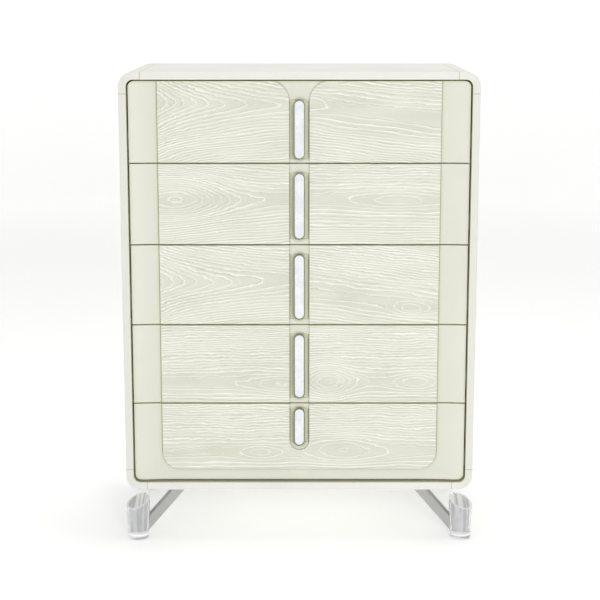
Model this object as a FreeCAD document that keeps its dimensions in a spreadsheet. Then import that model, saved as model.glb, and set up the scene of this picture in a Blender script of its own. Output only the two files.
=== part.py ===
"""Tall chest of five drawers on four angled steel legs with clear feet.

Millimetres: X is the width, Y the depth with the front at -Y, and Z the height above the floor.
Each drawer is drawn with z = 0 at the lower edge of its front and then lifted to its place.
Each leg is drawn around the axis of its foot, with +X towards the middle of the case.
"""

import math
import os
import re

import FreeCAD
import Part
import Sketcher

SIZES = {
    # case
    "case_width": 900,
    "case_depth": 450,
    "case_height": 1080,
    "floor_clearance": 138,
    "board": 19,
    "corner_leg": 54,
    "corner_radius": 37,
    "back_thickness": 6,
    "back_inset": 10,
    "groove_depth": 6,
    "groove_clearance": 0.5,
    "rail_thickness": 14,
    "rail_depth": 80,
    # drawer fronts
    "front_gap": 3.5,
    "bottom_gap": 5.5,
    "side_gap": 4,
    "front_setback": 8,
    "front_thickness": 22,
    "front_corner_radius": 15,
    "rail_clearance": 2,
    "cove_width": 72,
    "cove_rim": 4,
    "cove_depth": 5,
    # grain panels and the channel between them
    "panel_thickness": 4,
    "panel_floor": 6,
    "panel_clearance": 0.2,
    "panel_top_radius": 50,
    "panel_bottom_radius": 45,
    "panel_bottom_margin": 28,
    "channel_width": 50,
    "channel_floor": 4,
    "channel_end_rise": 80.2,
    # finger recesses and handles
    "recess_depth": 13,
    "recess_ramp": 24,
    "recess_lower_margin": 8,
    "handle_width": 29,
    "handle_thickness": 6,
    "handle_standoff": 2,
    "handle_rim": 2.8,
    "inlay_pocket": 2.5,
    "inlay_thickness": 2.3,
    "inlay_clearance": 0.1,
    "handle_drop_top": 46.5,
    "handle_drop_middle": 22,
    "handle_drop_lowest": 10.7,
    "handle_rise_top": 8.3,
    "handle_rise_middle": 12.5,
    "handle_rise_lowest": 92.5,
    "post_radius": 5,
    "post_inset": 18,
    "post_socket": 1,
    "post_clearance": 0.1,
    "handle_screw_radius": 2,
    "handle_screw_clearance": 0.25,
    "handle_screw_grip": 10,
    "handle_screw_head_radius": 3.75,
    "handle_screw_head_height": 2.5,
    # drawer boxes
    "box_rise": 9,
    "box_headroom": 23.8,
    "box_rear_clearance": 2,
    "box_wall": 12,
    "box_bottom_rise": 6,
    "box_bottom_thickness": 6,
    "box_groove_depth": 6,
    # ball-bearing slides
    "slide_room": 12.7,
    "slide_end_margin": 1,
    "slide_rise": 45,
    "slide_height": 45,
    "slide_metal": 1.2,
    "slide_ball_gap": 2.8,
    "slide_ball_clearance": 0.4,
    "slide_side_clearance": 1.1,
    "slide_cabinet_flange": 8.9,
    "slide_middle_web": 4.4,
    "slide_cage_margin": 0.5,
    # legs
    "foot_inset": 26.5,
    "foot_bottom_radius": 26.5,
    "foot_top_radius": 32.4,
    "foot_blank_room": 13,
    "foot_cut_room": 40,
    "foot_cut_angle": 25,
    "foot_base": 20,
    "foot_wall": 5,
    "core_clearance": 0.2,
    "bar_width": 12,
    "bar_height": 30,
    "bar_angle": 33,
    "bar_entry_height": 28,
    "bar_entry_reach": 28,
    "bar_root": 20,
    "bar_foot_level": 12,
    "bar_clearance": 0.5,
    "plate_size": 70,
    "plate_thickness": 4,
    "plate_screw_inset": 12,
    "plate_screw_clearance": 0.3,
    "leg_screw_radius": 2.4,
    "leg_screw_grip": 14,
    "leg_screw_head_radius": 4.5,
    "leg_screw_head_height": 3,
}

DRAWERS = (1, 2, 3, 4, 5)
SIDES = {"left": -1, "right": 1}
ROWS = {"top": 1, "bottom": -1}
ENDS = {"front": -1, "rear": 1}

# Places worked out from the sizes. Depths are measured back from the front plane of the case.
HALF_WIDTH = "(case_width / 2)"
HALF_DEPTH = "(case_depth / 2)"
CASE_TOP = "(floor_clearance + case_height)"
INNER_HALF = "(case_width / 2 - board)"
INNER_HEIGHT = "(case_height - 2 * board)"
FRONT_HALF = "(case_width / 2 - board - side_gap)"
FRONT_HEIGHT = f"(({INNER_HEIGHT} - {len(DRAWERS)} * front_gap - bottom_gap) / {len(DRAWERS)})"
PANEL_HALF = "(case_width / 2 - board - side_gap - cove_width)"
CHANNEL_HALF = "(channel_width / 2)"
FACE = "(-case_depth / 2 + front_setback)"
FRONT_BACK = "(-case_depth / 2 + front_setback + front_thickness)"
CHANNEL_FLOOR = "(-case_depth / 2 + front_setback + channel_floor)"
PANEL_FLOOR = "(-case_depth / 2 + front_setback + panel_floor)"
RECESS_FLOOR = "(-case_depth / 2 + front_setback + channel_floor + recess_depth)"
HANDLE_BACK = "(-case_depth / 2 + front_setback + handle_standoff)"
POST_END = "(-case_depth / 2 + front_setback + channel_floor + recess_depth + post_socket)"
BACK_PANEL_REAR = "(case_depth / 2 - back_inset)"
BOX_HALF = "(case_width / 2 - board - slide_room)"
BOX_HEIGHT = f"({FRONT_HEIGHT} - box_rise - box_headroom)"
BOX_REAR = f"({BACK_PANEL_REAR} - back_thickness - box_rear_clearance)"
SLIDE_REAR = f"({BOX_REAR} - slide_end_margin)"
SLIDE_LENGTH = f"({BOX_REAR} - {FRONT_BACK} - 2 * slide_end_margin)"
SLIDE_Z = "(box_rise + slide_rise)"
PLATE_UNDERSIDE = "(floor_clearance - plate_thickness)"
PLATE_REACH = f"(bar_entry_reach + ({PLATE_UNDERSIDE} - bar_entry_height) / tan(bar_angle))"
PLATE_SCREW_OFFSET = "(plate_size / 2 - plate_screw_inset)"
FOOT_BLANK_HEIGHT = "(floor_clearance - foot_blank_room)"
FOOT_CUT_HEIGHT = "(floor_clearance - foot_cut_room)"
FOOT_SPAN = "(foot_top_radius * 4)"
BESIDE_FOOT = "(foot_top_radius * 1.5)"
ABOVE_FOOT = "(floor_clearance * 1.5)"

SECTIONS = {1: "top", 2: "middle", 3: "middle", 4: "middle", 5: "lowest"}

doc = FreeCAD.newDocument("tall_chest_of_drawers")
sheet = doc.addObject("Spreadsheet::Sheet", "Sizes")
for row, (alias, size) in enumerate(SIZES.items(), start=1):
    sheet.set(f"A{row}", alias)
    sheet.set(f"B{row}", str(size))
    sheet.setAlias(f"B{row}", alias)
doc.recompute()


def linked(expression):
    """The expression with each size name pointing at its spreadsheet cell."""
    return re.sub(r"[a-z_]+", lambda word: f"Sizes.{word[0]}" if word[0] in SIZES else word[0], expression)


def value(expression):
    return float(sheet.evalExpression(linked(expression)))


def bind(thing, **expressions):
    """Binds properties; a double underscore stands for the dot in a property's path."""
    for name, expression in expressions.items():
        thing.setExpression(name.replace("__", "."), linked(str(expression)))


def new_body(label, lift="0"):
    body = doc.addObject("PartDesign::Body", label)
    body.Label = label
    body.AllowCompound = True
    bind(body, Placement__Base__z=lift)
    return body


# ---- sketches -------------------------------------------------------------------------------


def arc_between(start, end, radius, turn):
    """The shorter arc between two points; turn is 1 for anticlockwise and -1 for clockwise."""
    half_x = (end[0] - start[0]) / 2
    half_y = (end[1] - start[1]) / 2
    half = math.hypot(half_x, half_y)
    rise = math.sqrt(max(radius * radius - half * half, 0)) * turn
    centre = (start[0] + half_x - rise * half_y / half, start[1] + half_y + rise * half_x / half)
    angles = [math.atan2(p[1] - centre[1], p[0] - centre[0]) for p in (start, end)]
    first, last = angles if turn > 0 else reversed(angles)
    circle = Part.Circle(FreeCAD.Vector(centre[0], centre[1], 0), FreeCAD.Vector(0, 0, 1), radius)
    return Part.ArcOfCircle(circle, first, last if last > first else last + 2 * math.pi)


def fix(sketch, kind, *where_and_value):
    """Adds one dimension to the sketch and binds it to its expression."""
    *where, expression = where_and_value
    index = sketch.addConstraint(Sketcher.Constraint(kind, *where, value(expression)))
    sketch.setExpression(f"Constraints[{index}]", linked(expression))


def draw_outline(sketch, steps, closed=True):
    """Draws lines to each (x, y) and arcs to each (x, y, radius, turn), back to the first point."""
    places = [(value(step[0]), value(step[1])) for step in steps]
    ends = []
    count = len(steps) if closed else len(steps) - 1
    for number in range(count):
        after = (number + 1) % len(steps)
        start, end, step = places[number], places[after], steps[after]
        if len(step) == 4:
            turn = step[3]
            edge = sketch.addGeometry(arc_between(start, end, value(step[2]), turn))
            fix(sketch, "Radius", edge, step[2])
            ends.append((edge, 1, 2) if turn > 0 else (edge, 2, 1))
        else:
            vectors = [FreeCAD.Vector(p[0], p[1], 0) for p in (start, end)]
            edge = sketch.addGeometry(Part.LineSegment(*vectors))
            ends.append((edge, 1, 2))
    for number, (edge, first, last) in enumerate(ends):
        fix(sketch, "DistanceX", edge, first, steps[number][0])
        fix(sketch, "DistanceY", edge, first, steps[number][1])
        if closed or number + 1 < len(ends):
            follower, follower_first, _ = ends[(number + 1) % len(ends)]
            sketch.addConstraint(Sketcher.Constraint("Coincident", edge, last, follower, follower_first))
        else:
            fix(sketch, "DistanceX", edge, last, steps[-1][0])
            fix(sketch, "DistanceY", edge, last, steps[-1][1])


def draw_circle(sketch, x, y, radius):
    centre = FreeCAD.Vector(value(x), value(y), 0)
    circle = sketch.addGeometry(Part.Circle(centre, FreeCAD.Vector(0, 0, 1), value(radius)))
    fix(sketch, "DistanceX", circle, 3, x)
    fix(sketch, "DistanceY", circle, 3, y)
    fix(sketch, "Radius", circle, radius)


def new_sketch(body, plane, offset, outlines=(), circles=(), closed=True):
    """A sketch on one of the body's origin planes, moved along the plane's normal."""
    sketch = body.newObject("Sketcher::SketchObject", f"{body.Name}_sketch")
    origin_plane = [f for f in body.Origin.OriginFeatures if f.Role == plane][0]
    sketch.AttachmentSupport = [(origin_plane, "")]
    sketch.MapMode = "FlatFace"
    bind(sketch, AttachmentOffset__Base__z=offset)
    for outline in outlines:
        draw_outline(sketch, outline, closed)
    for circle in circles:
        draw_circle(sketch, *circle)
    return sketch


def prism(body, plane, start, length, outlines=(), circles=(), cut=False, both_ways=False):
    """Pads or cuts outlines from start: XY upwards, YZ towards +X and XZ forwards, towards -Y."""
    offset = f"-({start})" if plane == "XZ_Plane" else start
    kind = "Pocket" if cut else "Pad"
    feature = body.newObject(f"PartDesign::{kind}", f"{body.Name}_{kind}")
    feature.Profile = new_sketch(body, plane, offset, outlines, circles)
    feature.Reversed = cut
    if both_ways:
        feature.SideType = "Symmetric"
    bind(feature, Length=length)
    body.Tip = feature
    return feature


def revolve(body, outline):
    """Turns an outline in (radius, height) around the body's Z axis."""
    feature = body.newObject("PartDesign::Revolution", f"{body.Name}_Revolution")
    sketch = new_sketch(body, "XZ_Plane", "0", [outline])
    feature.Profile = sketch
    feature.ReferenceAxis = (sketch, ["V_Axis"])
    feature.Angle = 360
    body.Tip = feature


def rectangle(x_low, y_low, x_high, y_high):
    return [(x_low, y_low), (x_high, y_low), (x_high, y_high), (x_low, y_high)]


def rounded_rectangle(half_width, bottom, top, radius):
    """A rectangle centred on x = 0 with four round corners."""
    return [
        (f"{half_width} - {radius}", bottom),
        (half_width, f"{bottom} + {radius}", radius, 1),
        (half_width, f"{top} - {radius}"),
        (f"{half_width} - {radius}", top, radius, 1),
        (f"-({half_width} - {radius})", top),
        (f"-{half_width}", f"{top} - {radius}", radius, 1),
        (f"-{half_width}", f"{bottom} + {radius}"),
        (f"-({half_width} - {radius})", bottom, radius, 1),
    ]


def pill(half_width, bottom, top):
    """A long shape with half-round ends, its quarter arcs meeting on x = 0."""
    return [
        ("0", bottom, half_width, 1),
        (half_width, f"{bottom} + {half_width}", half_width, 1),
        (half_width, f"{top} - {half_width}"),
        ("0", top, half_width, 1),
        (f"-{half_width}", f"{top} - {half_width}", half_width, 1),
        (f"-{half_width}", f"{bottom} + {half_width}"),
    ]


def compound(label, members):
    group = doc.addObject("Part::Compound", label)
    group.Label = label
    group.Links = members
    return group


def screw(name, place, axis, shank_radius, shank_length, head_radius, head_height):
    """A screw whose head sits behind place and whose shank runs from place along the axis."""
    turn = FreeCAD.Rotation(FreeCAD.Vector(0, 0, 1), FreeCAD.Vector(*axis))
    pieces = []
    for piece, radius, length, behind in (
        ("shank", shank_radius, f"{shank_length} + {head_height}", head_height),
        ("head", head_radius, head_height, head_height),
    ):
        cylinder = doc.addObject("Part::Cylinder", f"{name}_{piece}")
        cylinder.Placement.Rotation = turn
        x, y, z = (f"{p} - ({behind}) * {a}" for p, a in zip(place, axis))
        bind(cylinder, Radius=radius, Height=length)
        bind(cylinder, Placement__Base__x=x, Placement__Base__y=y, Placement__Base__z=z)
        pieces.append(cylinder)
    whole = doc.addObject("Part::Fuse", name)
    whole.Base, whole.Tool = pieces
    return whole


# ---- case -----------------------------------------------------------------------------------


def cut_back_groove(body):
    """The groove that holds the back panel runs around the inside of the case."""
    outline = rounded_rectangle(
        f"({INNER_HALF} + groove_depth)",
        "(floor_clearance + board - groove_depth)",
        f"({CASE_TOP} - board + groove_depth)",
        "(corner_radius - board + groove_depth)",
    )
    prism(body, "XZ_Plane", BACK_PANEL_REAR, "back_thickness", [outline], cut=True)


def case_board(label, outline):
    body = new_body(label)
    prism(body, "XZ_Plane", HALF_DEPTH, "case_depth", [outline])
    cut_back_groove(body)
    return body


def leg_screw_places():
    """Each leg screw's place in plan, from the foot's axis and the 45 degree run of the bar."""
    for across in SIDES.values():
        for along in ENDS.values():
            for reach_sign in (-1, 1):
                for side_sign in (-1, 1):
                    reach = f"({PLATE_REACH} + {reach_sign} * {PLATE_SCREW_OFFSET}) / sqrt(2)"
                    aside = f"{side_sign} * {PLATE_SCREW_OFFSET} / sqrt(2)"
                    x = f"{across} * ({HALF_WIDTH} - foot_inset - {reach}) + {along} * {aside}"
                    y = f"{along} * ({HALF_DEPTH} - foot_inset - {reach}) - {across} * {aside}"
                    yield x, y


def make_flat_panels():
    reach = f"({HALF_WIDTH} - corner_leg)"
    top = case_board("top_panel", rectangle(f"-{reach}", f"{CASE_TOP} - board", reach, CASE_TOP))
    low = rectangle(f"-{reach}", "floor_clearance", reach, "floor_clearance + board")
    bottom = case_board("bottom_panel", low)
    pilots = [(x, y, "leg_screw_radius") for x, y in leg_screw_places()]
    prism(bottom, "XY_Plane", "floor_clearance", "leg_screw_grip", circles=pilots, cut=True)
    return [top, bottom]


def make_side_panels():
    panels = []
    for side, sign in SIDES.items():
        edges = sorted((f"{sign} * {HALF_WIDTH}", f"{sign} * {INNER_HALF}"), key=value)
        outline = rectangle(
            edges[0], "floor_clearance + corner_leg", edges[1], f"{CASE_TOP} - corner_leg"
        )
        panels.append(case_board(f"{side}_side_panel", outline))
    return panels


def make_corner_blocks():
    blocks = []
    for row, up in ROWS.items():
        edge = CASE_TOP if up > 0 else "floor_clearance"
        for side, sign in SIDES.items():
            turn = sign * up

            def at(inward, down):
                return f"{sign} * ({HALF_WIDTH} - {inward})", f"{edge} - {up} * {down}"

            outline = [
                at("0", "corner_leg"),
                at("0", "corner_radius"),
                (*at("corner_radius", "0"), "corner_radius", turn),
                at("corner_leg", "0"),
                at("corner_leg", "board"),
                at("corner_radius", "board"),
                (*at("board", "corner_radius"), "(corner_radius - board)", -turn),
                at("board", "corner_leg"),
            ]
            blocks.append(case_board(f"corner_block_{row}_{side}", outline))
    return blocks


def make_back_panel():
    body = new_body("back_panel")
    spread = "(groove_depth - groove_clearance)"
    outline = rounded_rectangle(
        f"({INNER_HALF} + {spread})",
        f"(floor_clearance + board - {spread})",
        f"({CASE_TOP} - board + {spread})",
        f"(corner_radius - board + {spread})",
    )
    prism(body, "XZ_Plane", BACK_PANEL_REAR, "back_thickness", [outline])
    return body


def front_bottom(number):
    """Height of the lower edge of a drawer front above the floor."""
    below = len(DRAWERS) - number
    return f"(floor_clearance + board + bottom_gap + {below} * ({FRONT_HEIGHT} + front_gap))"


def make_divider_rails():
    body = new_body("divider_rails")
    outlines = []
    for number in DRAWERS[:-1]:
        middle = f"({front_bottom(number)} - front_gap / 2)"
        low, high = f"{middle} - rail_thickness / 2", f"{middle} + rail_thickness / 2"
        outlines.append(rectangle(f"-{INNER_HALF}", low, INNER_HALF, high))
    rear = f"{FRONT_BACK} + rail_clearance + rail_depth"
    prism(body, "XZ_Plane", rear, "rail_depth", outlines)
    return body


# ---- ball-bearing slides --------------------------------------------------------------------


def slide_outline(sign, places):
    """Slide section points as (distance from the side panel, height), put on one side."""
    return [(f"{sign} * ({INNER_HALF} - {reach})", f"{SLIDE_Z} + {height}") for reach, height in places]


def channel_places(web, web_face, flange_end, half_height):
    """A C section: the web's back, the web's face, the flange ends and its half height."""
    inner = f"({half_height} - slide_metal)"
    return [
        (web, f"-{half_height}"),
        (flange_end, f"-{half_height}"),
        (flange_end, f"-{inner}"),
        (web_face, f"-{inner}"),
        (web_face, inner),
        (flange_end, inner),
        (flange_end, half_height),
        (web, half_height),
    ]


CABINET_HALF = "(slide_height / 2)"
MIDDLE_HALF = "(slide_height / 2 - slide_metal - slide_ball_gap)"
RUNNER_HALF = "(slide_height / 2 - 2 * slide_metal - 2 * slide_ball_gap)"
MIDDLE_WEB_FACE = "(slide_middle_web + slide_metal)"
RUNNER_FLANGE = "(slide_middle_web + slide_metal + slide_side_clearance)"


def middle_places():
    """The middle section with its ball cages: a bulge outside and one inside each flange."""
    inner = f"({MIDDLE_HALF} - slide_metal)"
    cage = "(slide_ball_gap - slide_ball_clearance)"
    start = "(slide_metal + slide_side_clearance)"
    end = "(slide_room - slide_metal - slide_side_clearance)"
    outer_cage_end = "(slide_cabinet_flange - slide_side_clearance)"
    inner_cage_end = f"({end} - slide_cage_margin)"
    lower = [
        (start, f"-{inner}"),
        (start, f"-{MIDDLE_HALF}"),
        ("slide_middle_web", f"-{MIDDLE_HALF}"),
        ("slide_middle_web", f"-({MIDDLE_HALF} + {cage})"),
        (outer_cage_end, f"-({MIDDLE_HALF} + {cage})"),
        (outer_cage_end, f"-{MIDDLE_HALF}"),
        (end, f"-{MIDDLE_HALF}"),
        (end, f"-{inner}"),
        (inner_cage_end, f"-{inner}"),
        (inner_cage_end, f"-({inner} - {cage})"),
        (RUNNER_FLANGE, f"-({inner} - {cage})"),
        (RUNNER_FLANGE, f"-{inner}"),
        (MIDDLE_WEB_FACE, f"-{inner}"),
    ]
    upper = [(reach, height[1:]) for reach, height in reversed(lower)]
    return lower + upper + [("slide_middle_web", inner), ("slide_middle_web", f"-{inner}")]


def slide_pair(label, places, lift):
    body = new_body(label, lift)
    outlines = [slide_outline(sign, places) for sign in SIDES.values()]
    prism(body, "XZ_Plane", SLIDE_REAR, SLIDE_LENGTH, outlines)
    return body


def make_cabinet_members():
    places = channel_places("0", "slide_metal", "slide_cabinet_flange", CABINET_HALF)
    pairs = [slide_pair(f"cabinet_members_{n}", places, front_bottom(n)) for n in DRAWERS]
    return compound("slide_cabinet_members", pairs)


# ---- drawers --------------------------------------------------------------------------------


def handle_span(number):
    """Lower and upper end of a handle above the lower edge of its front."""
    section = SECTIONS[number]
    return f"handle_rise_{section}", f"({FRONT_HEIGHT} - handle_drop_{section})"


def post_heights(number):
    low, high = handle_span(number)
    return f"({low} + post_inset)", f"({high} - post_inset)"


def grain_outlines(number, gap):
    """Outlines of the grain panels, drawn in by the gap where they meet the painted front."""
    outer, inner = f"({PANEL_HALF} - {gap})", f"({CHANNEL_HALF} + {gap})"
    if number == DRAWERS[-1]:
        floor = f"(panel_bottom_margin + {gap})"
        corner = f"(panel_bottom_radius - {gap})"
        notch_end = f"(channel_end_rise - {gap})"
        notch_centre = f"({notch_end} + {inner})"
        return [
            [
                (f"-{outer}", FRONT_HEIGHT),
                (f"-{outer}", f"{floor} + {corner}"),
                (f"-({outer} - {corner})", floor, corner, 1),
                (f"{outer} - {corner}", floor),
                (outer, f"{floor} + {corner}", corner, 1),
                (outer, FRONT_HEIGHT),
                (inner, FRONT_HEIGHT),
                (inner, notch_centre),
                ("0", notch_end, inner, -1),
                (f"-{inner}", notch_centre, inner, -1),
                (f"-{inner}", FRONT_HEIGHT),
            ]
        ]
    outlines = []
    for sign in SIDES.values():
        outline = [(f"{sign} * {outer}", "0"), (f"{sign} * {outer}", FRONT_HEIGHT)]
        if number == DRAWERS[0]:
            radius = "panel_top_radius"
            outline.append((f"{sign} * ({inner} + {radius})", FRONT_HEIGHT))
            outline.append((f"{sign} * {inner}", f"{FRONT_HEIGHT} - {radius}", radius, sign))
        else:
            outline.append((f"{sign} * {inner}", FRONT_HEIGHT))
        outline.append((f"{sign} * {inner}", "0"))
        outlines.append(outline)
    return outlines


def field_outline(number):
    """The whole field inside the coves, over which the front is lowered to the channel floor."""
    if number != DRAWERS[-1]:
        return rectangle(f"-{PANEL_HALF}", "0", PANEL_HALF, FRONT_HEIGHT)
    radius, floor = "panel_bottom_radius", "panel_bottom_margin"
    return [
        (f"-{PANEL_HALF}", FRONT_HEIGHT),
        (f"-{PANEL_HALF}", f"{floor} + {radius}"),
        (f"-({PANEL_HALF} - {radius})", floor, radius, 1),
        (f"{PANEL_HALF} - {radius}", floor),
        (PANEL_HALF, f"{floor} + {radius}", radius, 1),
        (PANEL_HALF, FRONT_HEIGHT),
    ]


def cove_outline(sign):
    """The air that a cove takes out of the front, seen from above: deepest at the panel."""
    run = "(cove_width - cove_rim)"
    radius = f"(({run}) ^ 2 + cove_depth ^ 2) / (2 * cove_depth)"
    rim = f"{sign} * ({FRONT_HALF} - cove_rim)"
    ahead = f"{FACE} - cove_depth"
    return [
        (f"{sign} * {PANEL_HALF}", ahead),
        (f"{sign} * {PANEL_HALF}", f"{FACE} + cove_depth"),
        (rim, FACE, radius, -sign),
        (rim, ahead),
    ]


def cut_coves(body, number):
    if number != DRAWERS[-1]:
        coves = [cove_outline(sign) for sign in SIDES.values()]
        prism(body, "XY_Plane", "0", FRONT_HEIGHT, coves, cut=True)
        return
    spine = new_sketch(body, "XZ_Plane", f"-({FACE} + cove_depth)", [field_outline(number)], closed=False)
    profile = new_sketch(body, "XY_Plane", FRONT_HEIGHT, [cove_outline(-1)])
    pipe = body.newObject("PartDesign::SubtractivePipe", f"{body.Name}_cove")
    pipe.Profile = profile
    pipe.Spine = (spine, [f"Edge{edge}" for edge in range(1, 6)])
    body.Tip = pipe


def cut_finger_recess(body, number):
    """A scoop behind the handle, as wide as the channel, with a curved ramp at each end."""
    low, high = handle_span(number)
    if number == DRAWERS[-1]:
        low = f"({low} + recess_lower_margin)"
    radius = "(recess_ramp ^ 2 + recess_depth ^ 2) / (2 * recess_depth)"
    scoop = [
        (CHANNEL_FLOOR, high, radius, 1),
        (CHANNEL_FLOOR, low),
        (RECESS_FLOOR, f"{low} + recess_ramp", radius, 1),
        (RECESS_FLOOR, f"{high} - recess_ramp"),
    ]
    prism(body, "YZ_Plane", f"-{CHANNEL_HALF}", "channel_width", [scoop], cut=True)


def front_outline(number):
    """Outline of a front; the first has round upper corners and the last round lower ones."""
    radius = "front_corner_radius"
    points = [(f"-{FRONT_HALF}", "0"), (FRONT_HALF, "0"), (FRONT_HALF, FRONT_HEIGHT)]
    points.append((f"-{FRONT_HALF}", FRONT_HEIGHT))
    if number == DRAWERS[0]:
        points[2:] = [
            (FRONT_HALF, f"{FRONT_HEIGHT} - {radius}"),
            (f"{FRONT_HALF} - {radius}", FRONT_HEIGHT, radius, 1),
            (f"-({FRONT_HALF} - {radius})", FRONT_HEIGHT),
            (f"-{FRONT_HALF}", f"{FRONT_HEIGHT} - {radius}", radius, 1),
        ]
    if number == DRAWERS[-1]:
        points[:2] = [
            (f"-{FRONT_HALF}", radius),
            (f"-({FRONT_HALF} - {radius})", "0", radius, 1),
            (f"{FRONT_HALF} - {radius}", "0"),
            (FRONT_HALF, radius, radius, 1),
        ]
    return points


def make_front(number, lift):
    body = new_body(f"drawer_{number}_front", lift)
    posts = post_heights(number)
    sockets = [("0", height, "post_radius + post_clearance") for height in posts]
    screw_holes = [("0", height, "handle_screw_radius + handle_screw_clearance") for height in posts]
    prism(body, "XZ_Plane", FRONT_BACK, "front_thickness", [front_outline(number)])
    cut_coves(body, number)
    prism(body, "XZ_Plane", CHANNEL_FLOOR, "channel_floor", [field_outline(number)], cut=True)
    beds = grain_outlines(number, "0")
    prism(body, "XZ_Plane", PANEL_FLOOR, "panel_floor - channel_floor", beds, cut=True)
    cut_finger_recess(body, number)
    prism(body, "XZ_Plane", POST_END, "recess_depth + post_socket", circles=sockets, cut=True)
    prism(body, "XZ_Plane", FRONT_BACK, "front_thickness", circles=screw_holes, cut=True)
    return body


def make_grain_panels(number, lift):
    body = new_body(f"drawer_{number}_grain_panels", lift)
    outlines = grain_outlines(number, "panel_clearance")
    prism(body, "XZ_Plane", PANEL_FLOOR, "panel_thickness", outlines)
    return body


def make_handle(number, lift):
    """The metal rim with its two posts, and the two screws that hold it through the front."""
    low, high = handle_span(number)
    posts = post_heights(number)
    rim = new_body(f"handle_{number}_rim", lift)
    outline = pill("(handle_width / 2)", low, high)
    prism(rim, "XZ_Plane", HANDLE_BACK, "handle_thickness", [outline])
    legs = [("0", height, "post_radius") for height in posts]
    prism(rim, "XZ_Plane", POST_END, f"{POST_END} - {HANDLE_BACK}", circles=legs)
    tray = pill("(handle_width / 2 - handle_rim)", f"{low} + handle_rim", f"{high} - handle_rim")
    tray_floor = f"{HANDLE_BACK} - handle_thickness + inlay_pocket"
    prism(rim, "XZ_Plane", tray_floor, "inlay_pocket", [tray], cut=True)
    threads = [("0", height, "handle_screw_radius") for height in posts]
    prism(rim, "XZ_Plane", POST_END, "handle_screw_grip", circles=threads, cut=True)
    inner_face = f"({FRONT_BACK} + box_wall)"
    screws = []
    for end, height in zip(("lower", "upper"), posts):
        screws.append(
            screw(
                f"handle_{number}_{end}_screw",
                ("0", inner_face, f"{lift} + {height}"),
                (0, -1, 0),
                "handle_screw_radius",
                f"({inner_face} - {POST_END} + handle_screw_grip)",
                "handle_screw_head_radius",
                "handle_screw_head_height",
            )
        )
    return compound(f"drawer_{number}_handle", [rim, *screws])


def make_inlay(number, lift):
    low, high = handle_span(number)
    body = new_body(f"drawer_{number}_handle_inlay", lift)
    edge = "(handle_rim + inlay_clearance)"
    outline = pill(f"(handle_width / 2 - {edge})", f"{low} + {edge}", f"{high} - {edge}")
    tray_floor = f"{HANDLE_BACK} - handle_thickness + inlay_pocket"
    prism(body, "XZ_Plane", tray_floor, "inlay_thickness", [outline])
    return body


def cut_bottom_groove(body):
    half = f"({BOX_HALF} - box_wall + box_groove_depth)"
    rear = f"{BOX_REAR} - box_wall + box_groove_depth"
    front = f"{FRONT_BACK} + box_wall - box_groove_depth"
    outline = rectangle(f"-{half}", front, half, rear)
    prism(body, "XY_Plane", "box_rise + box_bottom_rise", "box_bottom_thickness", [outline], cut=True)


def box_wall_body(label, lift, plan):
    body = new_body(label, lift)
    prism(body, "XY_Plane", "box_rise", BOX_HEIGHT, [plan])
    cut_bottom_groove(body)
    return body


def make_box(number, lift):
    """Two side walls run the full depth, and the front and back walls stand between them."""
    inner = f"({BOX_HALF} - box_wall)"
    side_plans = {
        "left": rectangle(f"-{BOX_HALF}", FRONT_BACK, f"-{inner}", BOX_REAR),
        "right": rectangle(inner, FRONT_BACK, BOX_HALF, BOX_REAR),
    }
    walls = [box_wall_body(f"box_{number}_{side}_wall", lift, plan) for side, plan in side_plans.items()]
    front = rectangle(f"-{inner}", FRONT_BACK, inner, f"{FRONT_BACK} + box_wall")
    front_wall = box_wall_body(f"box_{number}_front_wall", lift, front)
    holes = [
        ("0", height, "handle_screw_radius + handle_screw_clearance") for height in post_heights(number)
    ]
    prism(front_wall, "XZ_Plane", f"{FRONT_BACK} + box_wall", "box_wall", circles=holes, cut=True)
    back = rectangle(f"-{inner}", f"{BOX_REAR} - box_wall", inner, BOX_REAR)
    back_wall = box_wall_body(f"box_{number}_back_wall", lift, back)
    return compound(f"drawer_{number}_box", [*walls, front_wall, back_wall])


def make_box_bottom(number, lift):
    body = new_body(f"drawer_{number}_bottom", lift)
    reach = "(box_wall - box_groove_depth + groove_clearance)"
    half = f"({BOX_HALF} - {reach})"
    outline = rectangle(f"-{half}", f"{FRONT_BACK} + {reach}", half, f"{BOX_REAR} - {reach}")
    prism(body, "XY_Plane", "box_rise + box_bottom_rise", "box_bottom_thickness", [outline])
    return body


def make_drawer(number):
    lift = front_bottom(number)
    runner = channel_places("slide_room", "(slide_room - slide_metal)", RUNNER_FLANGE, RUNNER_HALF)
    return [
        make_front(number, lift),
        make_grain_panels(number, lift),
        make_handle(number, lift),
        make_inlay(number, lift),
        make_box(number, lift),
        make_box_bottom(number, lift),
        slide_pair(f"drawer_{number}_slide_runners", runner, lift),
        slide_pair(f"drawer_{number}_slide_middles", middle_places(), lift),
    ]


# ---- legs -----------------------------------------------------------------------------------


def place_leg(body, across, along):
    """Moves a leg to its corner and turns its +X towards the middle of the case."""
    bind(
        body,
        Placement__Base__x=f"{across} * ({HALF_WIDTH} - foot_inset)",
        Placement__Base__y=f"{along} * ({HALF_DEPTH} - foot_inset)",
    )
    angle = math.degrees(math.atan2(-along, -across))
    body.Placement.Rotation = FreeCAD.Rotation(FreeCAD.Vector(0, 0, 1), angle)


def foot_radius(height):
    """Outer radius of the tapered foot at a height."""
    flare = "(foot_top_radius - foot_bottom_radius)"
    return f"(foot_bottom_radius + {flare} * {height} / {FOOT_BLANK_HEIGHT})"


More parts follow.
